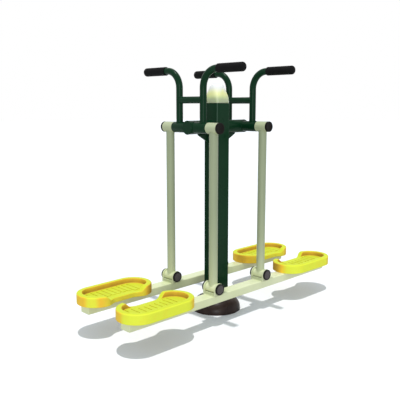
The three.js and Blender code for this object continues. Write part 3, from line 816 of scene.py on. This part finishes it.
def arm_tube(x, y):
    """The arm's tube: circles carried straight down, with both ends cut to the sleeve
    they meet, at height sqrt(R^2 - x^2) from the sleeve's middle."""
    turn = round_places(56)
    wide = arm_radius * np.cos(turn)
    deep = arm_radius * np.sin(turn)
    shrink = np.array([0, 0.5, 1])[:, None]
    lid_x = wide * shrink
    lid_y = deep * shrink
    top = points_at(lid_x, lid_y, top_pivot - surface_at(top_sleeve_radius - 1, lid_x))
    foot = points_at(lid_x, lid_y, bottom_pivot + surface_at(bottom_sleeve_radius - 1, lid_x))
    middle = [points_at(wide, deep, height)[None] for height in (620, 440)]
    return np.concatenate([top, *middle, foot[::-1]]) + [x, y, 0]


def even_marks(shells, *shares):
    """One share for all the points of each shell."""
    return [np.full(shell.shape[:2], share) for shell, share in zip(shells, shares)]


def turned_steel(name, shade, ring_shade, roughness):
    """Metal turned on a lathe. It gives the eye fine rings round the axis along Y."""
    metal, tree, place = start_material(name)
    # Tool marks 0.3 mm apart on the real part, drawn 1 mm apart so that they show
    marks = add(tree, "ShaderNodeMapping", {"Vector": place, "Scale": (10, 1000, 10)})
    rings = add(tree, "ShaderNodeTexNoise", {"Vector": marks.outputs[0], "Scale": 1, "Detail": 2})
    tone = add(tree, "ShaderNodeMix", {
        0: rings.outputs[0], 6: colour(shade), 7: colour(ring_shade),
    }, data_type="RGBA")
    sheen = add(tree, "ShaderNodeMapRange", {
        "Value": rings.outputs[0],
        "From Min": 0.3, "From Max": 0.7,
        "To Min": roughness - 0.06, "To Max": roughness + 0.1,
    })
    shader = add(tree, "ShaderNodeBsdfPrincipled", {
        "Base Color": tone.outputs[2],
        "Metallic": 1,
        "Roughness": sheen.outputs[0],
    })
    add(tree, "ShaderNodeOutputMaterial", {"Surface": shader.outputs[0]})
    return metal


bearing_steel = turned_steel("ground_bearing_steel", "#A9AAAC", "#C4C5C6", 0.24)
bush_bronze = turned_steel("turned_bearing_bronze", "#A98A4C", "#C4A565", 0.34)
joint_turn = round_places(180)
joint_x = (arm_radius + 0.4) * np.cos(joint_turn)
joint_y = (arm_radius + 0.4) * np.sin(joint_turn)
top_joint = top_pivot - surface_at(top_sleeve_radius + 0.4, joint_x)
bottom_joint = bottom_pivot + surface_at(bottom_sleeve_radius + 0.4, joint_x)
for corner, sign, face in corners:
    x = sign * arm_x
    y = face * beam_y
    shells = [
        sleeve(top_sleeve_radius, top_bore, top_sleeve_half, (x, y, top_pivot)),
        sleeve(bottom_sleeve_radius, bottom_bore, bottom_sleeve_half, (x, y, bottom_pivot)),
        arm_tube(x, y),
        weld(points_at(joint_x, joint_y, top_joint) + [x, y, 0], arm_weld_radius),
        weld(points_at(joint_x, joint_y, bottom_joint) + [x, y, 0], arm_weld_radius),
    ]
    # Painted shade darkens the arm, most of all on the tube and the top sleeve
    painted_light_share = even_marks(shells, 0.6, 0.12, 0.9, 0.8, 0.4)
    # Painted shade fills the tube from its top to its middle and is weaker below, as painted
    # light from the ground
    painted_light_share[2][4:] = [[0.8], [0.5], [0.5], [0.5]]
    build(f"painted_arm_{corner}", shells, cream_coat, f"arm_{corner}",
          {"painted_light_share": painted_light_share})
    dress(bearing_steel, "bearing_steel", f"axle_bearings_{corner}")
    dress(bush_bronze, "bush_bronze", f"pivot_bush_{corner}")

# Top caps. Black nylon discs, 60 mm, whose hollow spigots push into the top sleeves and
# keep the rain off the bearings.
top_cap_inner = 38.3
top_cap_outer = 50.8
top_cap_radius = 30
top_cap_wall = 3
top_cap_round = 2.5
spigot_radius = 25.7
spigot_depth = 6
cap_nylon = moulded_nylon("black_moulded_nylon", "#1A1715", "#302C29", 0.35, 0.05, 0.4, 2.5)
top_cap_profile = [
    (0, top_cap_outer - top_cap_wall),
    (spigot_radius - top_cap_wall, top_cap_outer - top_cap_wall),
    (spigot_radius - top_cap_wall, top_cap_inner - spigot_depth),
    (spigot_radius, top_cap_inner - spigot_depth), (spigot_radius, top_cap_inner),
    (top_cap_radius - 0.6, top_cap_inner), (top_cap_radius, top_cap_inner + 0.6),
    (top_cap_radius, top_cap_outer - top_cap_round - 0.5),
    *arc(top_cap_radius - top_cap_round, top_cap_outer - top_cap_round, top_cap_round, 0, 90, 4),
    (25, top_cap_outer), (23.6, top_cap_outer - 0.5), (0, top_cap_outer - 0.2),
]
for corner, sign, face in corners:
    rings = turned(top_cap_profile, "Y", (0, beam_y, top_pivot)) * [1, face, 1]
    build(f"moulded_top_cap_{corner}", [rings + [sign * arm_x, 0, 0]], cap_nylon,
          f"top_cap_{corner}")

# Brackets. Two round-topped lugs of 8 mm plate with a floor and two webs between them,
# welded up and then welded on the beam, cream.
lug_radius = 33
lug_outer = 45.5
lug_inner = 37.5
bracket_foot = -34.2
pin_bore = 10.3
web_thickness = 6
web_height = 17
web_x = 30
floor_length = 62
floor_thickness = 5
bracket_weld_radius = 2.2


def lug(place, low, high):
    """A lug about the pin. Round the pin the outline is R over the upper half and, below,
    the smaller of R / |cos t| and its foot / |sin t|. Each face runs from the pin hole to
    that outline, with the edge rounded by 1 mm."""
    corner = np.arctan2(-bracket_foot, lug_radius)
    lower = np.pi + np.concatenate([
        np.linspace(0, corner, 9), np.linspace(corner, np.pi - corner, 17)[1:],
        np.linspace(np.pi - corner, np.pi, 9)[1:-1],
    ])
    turn = np.concatenate([np.linspace(0, np.pi, 49), lower[1:]])
    below = np.minimum(lug_radius / np.maximum(np.abs(np.cos(turn)), 1e-6),
                       -bracket_foot / np.maximum(np.abs(np.sin(turn)), 1e-6))
    outline = np.where(np.sin(turn) > -1e-9, lug_radius, below)
    # How far each ring lies in from the outline, its place along Y, and 1 at the hole
    rows = [
        (0, low + 1, 0), (0, high - 1, 0), (0.3, high - 0.3, 0), (1, high, 0), (2.2, high, 0),
        (0, high, 1), (0, low, 1),
        (2.2, low, 0), (1, low, 0), (0.3, low + 0.3, 0), (0, low + 1, 0),
    ]
    rings = []
    for inset, along, at_hole in rows:
        reach = pin_bore if at_hole else outline - inset
        rings.append(points_at(reach * np.cos(turn), along, reach * np.sin(turn)))
    return np.stack(rings) + place


web = slab(rounded_outline(web_thickness, 2 * lug_inner + 1, 1.4, 3, 0.8), bracket_foot,
           bracket_foot + web_height, 1.2)
base = slab(rounded_outline(floor_length, 2 * lug_inner + 1, 2, 3, 0.8), bracket_foot,
            bracket_foot + floor_thickness, 0.8)
foot_outline = rounded_outline(2 * lug_radius + 1, 2 * lug_outer + 1, 2, 4, 0.5)
foot_outline = np.vstack([foot_outline, foot_outline[:1]])
foot_steps = np.linalg.norm(np.diff(foot_outline, axis=0), axis=1)
length = np.concatenate([[0], foot_steps.cumsum()])
travelled = np.linspace(0, length[-1], 260, endpoint=False)
foot_run = points_at(np.interp(travelled, length, foot_outline[:, 0]),
                     np.interp(travelled, length, foot_outline[:, 1]), bracket_foot + 0.8)
for corner, sign, face in corners:
    place = np.array([sign * arm_x, face * beam_y, bottom_pivot], float)
    shells = [
        lug(place, lug_inner, lug_outer),
        lug(place, -lug_outer, -lug_inner),
        web + place + [web_x, 0, 0],
        web + place - [web_x, 0, 0],
        base + place,
        weld(foot_run + place, bracket_weld_radius),
    ]
    # Painted shade deepens the webs and the floor between the lugs, and less the lugs
    painted_light_share = even_marks(shells, 0.25, 0.25, 0.55, 0.55, 0.5, 0.4)
    build(f"painted_bracket_{corner}", shells, cream_coat,
          f"bracket_{corner}", {"painted_light_share": painted_light_share})

# Pivot pins and their caps. A 20 mm steel pin runs through the lugs and the bush, and a
# dished black nylon cap snaps over either end.
pin_cap_start = 45.8
pin_cap_radius = 31
pin_cap_thickness = 10.5
pin_cap_recess = 4.3
pin_cap_round = 2.2
dress(zinc_plating, "zinc_steel", *[f"pivot_pin_{corner}" for corner, _, _ in corners])
pin_cap_profile = [
    (0, pin_cap_recess), (pin_bore, pin_cap_recess), (pin_bore, 0),
    (pin_cap_radius - 0.6, 0), (pin_cap_radius, 0.6),
    (pin_cap_radius, pin_cap_thickness - 2.6),
    *arc(pin_cap_radius - pin_cap_round, pin_cap_thickness - pin_cap_round, pin_cap_round,
         0, 90, 4),
    (27.6, pin_cap_thickness), (26.4, pin_cap_thickness - 0.3),
    (25.2, pin_cap_thickness - 1.2), (19, pin_cap_thickness - 1.1),
    (10, pin_cap_thickness - 0.7), (0, pin_cap_thickness - 0.5),
]
# Only the dished face is scuffed
pin_cap_worn = np.array([0] * (len(pin_cap_profile) - 4) + [0.6, 1, 1, 1], float)


def worn_nylon(name):
    """Black nylon whose dished face has been scuffed grey while its rim stays black."""
    nylon, tree, place = start_material(name)
    scuffs = add(tree, "ShaderNodeTexNoise", {"Vector": place, "Scale": 160, "Detail": 5})
    worn = add(tree, "ShaderNodeAttribute", attribute_name="worn").outputs["Fac"]
    uneven = add(tree, "ShaderNodeMapRange", {
        "Value": scuffs.outputs[0],
        "From Min": 0.25, "From Max": 0.7, "To Min": 0.55, "To Max": 1,
    })
    share = add(tree, "ShaderNodeMath", {0: worn, 1: uneven.outputs[0]}, operation="MULTIPLY")
    tone = add(tree, "ShaderNodeMix", {
        0: share.outputs[0], 6: colour("#151211"), 7: colour("#5F5958"),
    }, data_type="RGBA")
    relief = add(tree, "ShaderNodeBump", {
        "Strength": 0.2, "Distance": 0.0003, "Height": scuffs.outputs[0],
    })
    shader = add(tree, "ShaderNodeBsdfPrincipled", {
        "Base Color": tone.outputs[2],
        "Roughness": 0.5,
        "IOR": 1.5,
        "Specular IOR Level": 0.12,
        "Normal": relief.outputs[0],
    })
    add(tree, "ShaderNodeOutputMaterial", {"Surface": shader.outputs[0]})
    return nylon


pin_cap_nylon = worn_nylon("scuffed_black_nylon")
for corner, sign, face in corners:
    for facing, out in (("plus", 1), ("minus", -1)):
        rings = turned(pin_cap_profile, "Y", (0, pin_cap_start, 0)) * [1, out, 1]
        shares = np.repeat(pin_cap_worn[:, None], rings.shape[1], axis=1)
        name = f"pin_cap_{corner}_{facing}"
        build(f"moulded_{name}", [rings + [sign * arm_x, face * beam_y, bottom_pivot]],
              pin_cap_nylon, name, {"worn": [shares]})

# Foot beams. Rectangular steel tube, 72 by 47 mm and 1620 mm long, with an end plate
# welded in at either end and dressed flush, cream.
beam_half = 810
beam_width = 72
beam_height = 47
beam_top = 171.5
beam_corner = 5
for end, face in ends:
    section = rounded_outline(beam_width, beam_height, beam_corner, hold=1)
    beam = slab(section, -beam_half, beam_half, 1.2)[..., [2, 0, 1]]
    beam = beam + [0, face * beam_y, beam_top - beam_height / 2]
    build(f"painted_foot_beam_{end}", [beam], cream_coat, f"foot_beam_{end}")

# Pedals. Long dished treads moulded in yellow plastic, with a high rim all round but for
# a low sill on the side that faces the post, low ribs across the tread and a hollow
# underside with a broad spine that sits on the beam.
pedal_x = 615
pedal_seat = 171.8
pedal_straight = 116
pedal_radius = 109
pedal_height = 55
tread_height = 28
rim_width = 30
scoop_depth = 25
scoop_flat = 55
scoop_ease = 70
sill_half = 100
sill_slope = 30
ramp_ease = 0.003
rib_pitch = 34
rib_width = 27
rib_height = 2
rib_gap = 12
rib_corner = 4.5
spine_half = 42
pocket_wall = 9
pocket_depth = 20
foot_round = 2


def scoop(x):
    """How far the scoop draws in the side at a place along the pedal, in millimetres: s^2
    (3 - 2 s) of its depth, where s falls from 1 to 0 over the ease past its flat."""
    share = np.clip((scoop_flat + scoop_ease - np.abs(x)) / scoop_ease, 0, 1)
    return scoop_depth * share ** 2 * (3 - 2 * share)


end_round = np.radians(np.linspace(-90, 90, 37))
plain_side = np.linspace(1, -1, 21)[1:-1]
scooped_side = np.linspace(-1, 1, 61)[1:-1]
pedal_core = pedal_straight * np.concatenate([
    np.ones_like(end_round), plain_side, -np.ones_like(end_round), scooped_side,
])
pedal_ray_x = np.concatenate([
    np.cos(end_round), np.zeros_like(plain_side), -np.cos(end_round),
    np.zeros_like(scooped_side),
])
pedal_ray_y = np.concatenate([
    np.sin(end_round), np.ones_like(plain_side), np.sin(end_round[::-1]),
    -np.ones_like(scooped_side),
])


def pedal_ring(inset, height):
    """The plan at an inset from the edge: the spine point plus (radius - inset) times
    the ray, with the scooped side moved in by the scoop."""
    x = pedal_core + (pedal_radius - inset) * pedal_ray_x
    y = (pedal_radius - inset) * pedal_ray_y
    y = y + np.where(pedal_ray_y < 0, scoop(x), 0)
    return points_at(x, y, height)


def step_share(value, low, high):
    """0 below low, 1 above high, and s^2 (3 - 2 s) between them."""
    share = np.clip((value - low) / (high - low), 0, 1)
    return share ** 2 * (3 - 2 * share)


def pedal_shell(turned_round, left_run, right_run):
    """The rings of a pedal from the middle of its underside, out over the spine and the
    pockets, up the outside, over the rim and down to the tread, with the shares of painted
    shade on the walls and the underside, and of painted shade that dulls the tops, at each
    point. Each run gives the painted shade of one end, by how many degrees its outside has
    turned from the plain side. The rim falls to the tread along the sill as a soft ramp,
    (sqrt(s^2 + e) - sqrt((s - 1)^2 + e) + 1) / 2, where s climbs from 0 to 1 and e is the ease."""
    edge = pedal_ring(rim_width / 2, 0)[:, 0]
    climb = (np.abs(edge) - sill_half) / sill_slope
    ramp = (np.sqrt(climb ** 2 + ramp_ease) - np.sqrt((climb - 1) ** 2 + ramp_ease) + 1) / 2
    wall = pedal_height - tread_height
    rim = np.where(pedal_ray_y < 0, wall * ramp, wall)
    top = tread_height + rim
    outer_round = 5 + 3 * rim / wall
    inner_round = np.minimum(4, rim / 2)
    # The painted shade of the outside at each point, from the run of its end
    facing = np.degrees(np.arccos(np.clip(pedal_ray_y, -1, 1)))
    side = np.where(pedal_core * turned_round > 0, np.interp(facing, *right_run),
                    np.interp(facing, *left_run))

    pocket = pedal_ring(pocket_wall, 0)
    pocket_x, pocket_y, _ = pocket.T
    under_side = np.abs(pocket_y) > spine_half
    deep = np.where(under_side, pocket_depth, 0)
    spine_y = np.where(under_side, np.sign(pocket_y) * spine_half, pocket_y)
    # Each row is a ring with its share of painted shade and of painted shade on the tops
    rows = [
        (points_at(pocket_x, 0, 0), 0, 0),
        (points_at(pocket_x, spine_y, 0), 0, 0),
        (points_at(pocket_x, spine_y, deep), 1, 0),
        (points_at(pocket_x, pocket_y, deep), 1, 0),
        (pocket, 1, 0),
        (pedal_ring(3.2, 0), side, 0),
    ]
    for angle in np.radians([0, 30, 60, 90]):
        ring = pedal_ring(foot_round * (1 - np.sin(angle)), foot_round * (1 - np.cos(angle)))
        rows.append((ring, side, 0))
    rows.append((pedal_ring(0, 3.5), side, 0))
    rows.append((pedal_ring(0, top - outer_round - 1.5), side, 0))
    for angle in np.radians(np.linspace(0, 90, 8)):
        over = step_share(np.degrees(angle), 20, 65)
        ring = pedal_ring(outer_round * (1 - np.cos(angle)),
                          top - outer_round * (1 - np.sin(angle)))
        rows.append((ring, side * (1 - over), over))
    rows.append((pedal_ring(outer_round + 1.5, top), 0, 1))
    rows.append((pedal_ring(rim_width - inner_round - 1, top), 0, 1))
    for angle in np.radians(np.linspace(0, 90, 7)):
        under = step_share(np.degrees(angle), 10, 50)
        ring = pedal_ring(rim_width - inner_round * (1 - np.sin(angle)),
                          top - inner_round * (1 - np.cos(angle)))
        rows.append((ring, 0.75 * under, 1 - under))
    for angle in np.radians(np.linspace(0, 90, 6)):
        onto = step_share(np.degrees(angle), 50, 90)
        ring = pedal_ring(rim_width + inner_round * (1 - np.cos(angle)),
                          tread_height + inner_round * (1 - np.sin(angle)))
        rows.append((ring, 1 - onto, onto))
    tread_x, tread_y, _ = pedal_ring(rim_width + 5.5, tread_height).T
    for share in (0, 0.3, 0.65, 1):
        x = pedal_core + (tread_x - pedal_core) * (1 - share)
        rows.append((points_at(x, tread_y * (1 - share), tread_height), 0, 1))
    rings, *marks = zip(*rows)
    return [np.stack(rings)] + [
        np.stack([np.broadcast_to(share, edge.shape) for share in mark]) for mark in marks
    ]


def tread_ribs():
    """Nine low bars across the tread, one at each multiple of the rib pitch, 2 mm high
    with round ends that stop 12 mm short of the rim."""
    ribs = []
    for place in np.arange(-4, 5) * float(rib_pitch):
        past = max(abs(place) - pedal_straight, 0)
        reach = np.sqrt((pedal_radius - rim_width - rib_gap) ** 2 - past ** 2)
        low = -reach + float(scoop(place))
        outline = rounded_outline(rib_width, reach - low, rib_corner, 4, 0.5)
        bar = slab(outline, tread_height - rib_height, tread_height + rib_height, 1.2)
        ribs.append(bar + [place, (reach + low) / 2, 0])
    return ribs


def pedal_plastic(name):
    """Yellow plastic, moulded in one piece. It gives the eye a bright lemon that painted
    shade turns orange and then ochre where a point is marked more and more shaded, and a
    painted shade that dulls the rim top and the tread, most of all on the flanks of the
    ribs, with a satin skin."""
    plastic, tree, place = start_material(name)
    painted_shade = add(tree, "ShaderNodeAttribute", attribute_name="painted_shade").outputs["Fac"]
    painted_top_shade = add(tree, "ShaderNodeAttribute", attribute_name="painted_top_shade").outputs["Fac"]
    cloud = add(tree, "ShaderNodeTexNoise", {"Vector": place, "Scale": 18, "Detail": 3})
    drift = add(tree, "ShaderNodeMapRange", {
        "Value": cloud.outputs[0],
        "From Min": 0.3, "From Max": 0.7, "To Min": -0.06, "To Max": 0.06,
    })
    share = add(tree, "ShaderNodeMath", {0: painted_shade, 1: drift.outputs[0]}, operation="ADD")
    first = add(tree, "ShaderNodeMapRange", {
        "Value": share.outputs[0], "From Min": 0, "From Max": 0.5,
    })
    second = add(tree, "ShaderNodeMapRange", {
        "Value": share.outputs[0], "From Min": 0.5, "From Max": 1,
    })
    orange = add(tree, "ShaderNodeMix", {
        0: first.outputs[0], 6: colour("#EFF748"), 7: colour("#FFCE40"),
    }, data_type="RGBA")
    ochre = add(tree, "ShaderNodeMix", {
        0: second.outputs[0], 6: orange.outputs[2], 7: colour("#BC9136"),
    }, data_type="RGBA")
    top_shade_mix = add(tree, "ShaderNodeMix", {
        0: painted_top_shade, 6: ochre.outputs[2], 7: (0.56, 0.6, 0.16, 1),
    }, data_type="RGBA", blend_type="MULTIPLY")
    # The moulded grain is 0.6 mm on the real tread, drawn at 2.5 mm so that it shows
    grain = add(tree, "ShaderNodeTexNoise", {"Vector": place, "Scale": 400, "Detail": 2})
    relief = add(tree, "ShaderNodeBump", {
        "Strength": 0.15, "Distance": 0.0004, "Height": grain.outputs[0],
    })
    shader = add(tree, "ShaderNodeBsdfPrincipled", {
        "Base Color": top_shade_mix.outputs[2],
        "Roughness": 0.55,
        "IOR": 1.5,
        "Specular IOR Level": 0.1,
        "Normal": relief.outputs[0],
    })
    add(tree, "ShaderNodeOutputMaterial", {"Surface": shader.outputs[0]})
    return plastic


yellow_plastic = pedal_plastic("yellow_plastic_painted_shade")
# For each pedal the left and the right end: degrees from the plain side, and the shares of
# painted shade
pedal_runs = {
    "left_front": (([78, 92, 180], [0, 0.5, 0.45]), ([6, 32, 180], [0, 0.5, 0.5])),
    "left_rear": (([56, 74, 106, 119, 139, 152, 180], [0, 0.5, 0.5, 0.07, 0.07, 0.5, 0.25]),
                  ([60, 76, 124, 142, 160, 178], [0, 0.5, 0.5, 0.95, 0.8, 0.25])),
    "right_front": (([64, 82, 98, 180], [0, 0.5, 0.9, 0.6]), ([3, 32, 180], [0.06, 0.5, 0.5])),
    "right_rear": (([42, 58, 74, 88, 108, 126, 160, 180],
                    [0, 0.5, 0.6, 0.85, 0.85, 0.5, 0.4, 0.2]),
                   ([60, 76, 160, 180], [0, 0.5, 0.5, 0.2])),
}
ribs = tread_ribs()
rib_tops = [rib[..., 2] > tread_height + rib_height - 0.1 for rib in ribs]
for corner, sign, face in corners:
    rings, painted_shade, painted_top_shade = pedal_shell(face, *pedal_runs[corner])
    # The ribs carry painted shade on their flanks and less on their tops
    marks = {
        "painted_shade": [painted_shade, *[0.3 * (1 - top) for top in rib_tops]],
        "painted_top_shade": [0.5 * painted_top_shade, *[1 - 0.5 * top for top in rib_tops]],
    }
    place = [sign * pedal_x, face * beam_y, pedal_seat]
    shells = [shell * [face, face, 1] + place for shell in [rings, *ribs]]
    build(f"moulded_pedal_{corner}", shells, yellow_plastic,
          f"pedal_{corner}", marks)

# Pedal screws. Two M10 hexagon screws with washers hold each pedal, driven up through
# the beam into the spine, with their heads below the beam.
screw_spread = 85
head_flats = 17
washer_radius = 11
washer_thickness = 2
washer_edge = 0.4


def screw_head(x, y, under):
    """A washer and a hexagon head that hang under a face. The hexagon's radius is half
    its flats over cos of the turn within each sixth, and its end is chamfered by keeping
    within a circle."""
    turn = round_places(72)
    sixth = np.mod(turn, np.pi / 3) - np.pi / 6
    flats = head_flats / 2 / np.cos(sixth)
    # The hexagon's share, how far down it is, and the circle that it keeps within
    free = np.inf
    levels = [(0, 0, free), (1, 0, free), (1, 5.4, free), (1, 6.2, 9.1), (1, 6.4, 8.3),
              (0, 6.4, free)]
    head = []
    for share, drop, limit in levels:
        reach = share * np.minimum(flats, limit)
        head.append(points_at(x + reach * np.cos(turn), y + reach * np.sin(turn),
                              under - washer_thickness - drop))
    washer = [
        (0, 0), (washer_radius - washer_edge, 0), (washer_radius, -washer_edge),
        (washer_radius, washer_edge - washer_thickness),
        (washer_radius - washer_edge, -washer_thickness), (0, -washer_thickness),
    ]
    return [np.stack(head), turned(washer, "Z", (x, y, under), 40)]


for corner, sign, face in corners:
    for where, shift in (("outer", sign * screw_spread), ("inner", -sign * screw_spread)):
        shells = screw_head(sign * pedal_x + shift, face * beam_y, beam_top - beam_height)
        build(f"pedal_screw_{corner}_{where}", shells, zinc_plating,
              f"pedal_{corner}", stands_in=False)
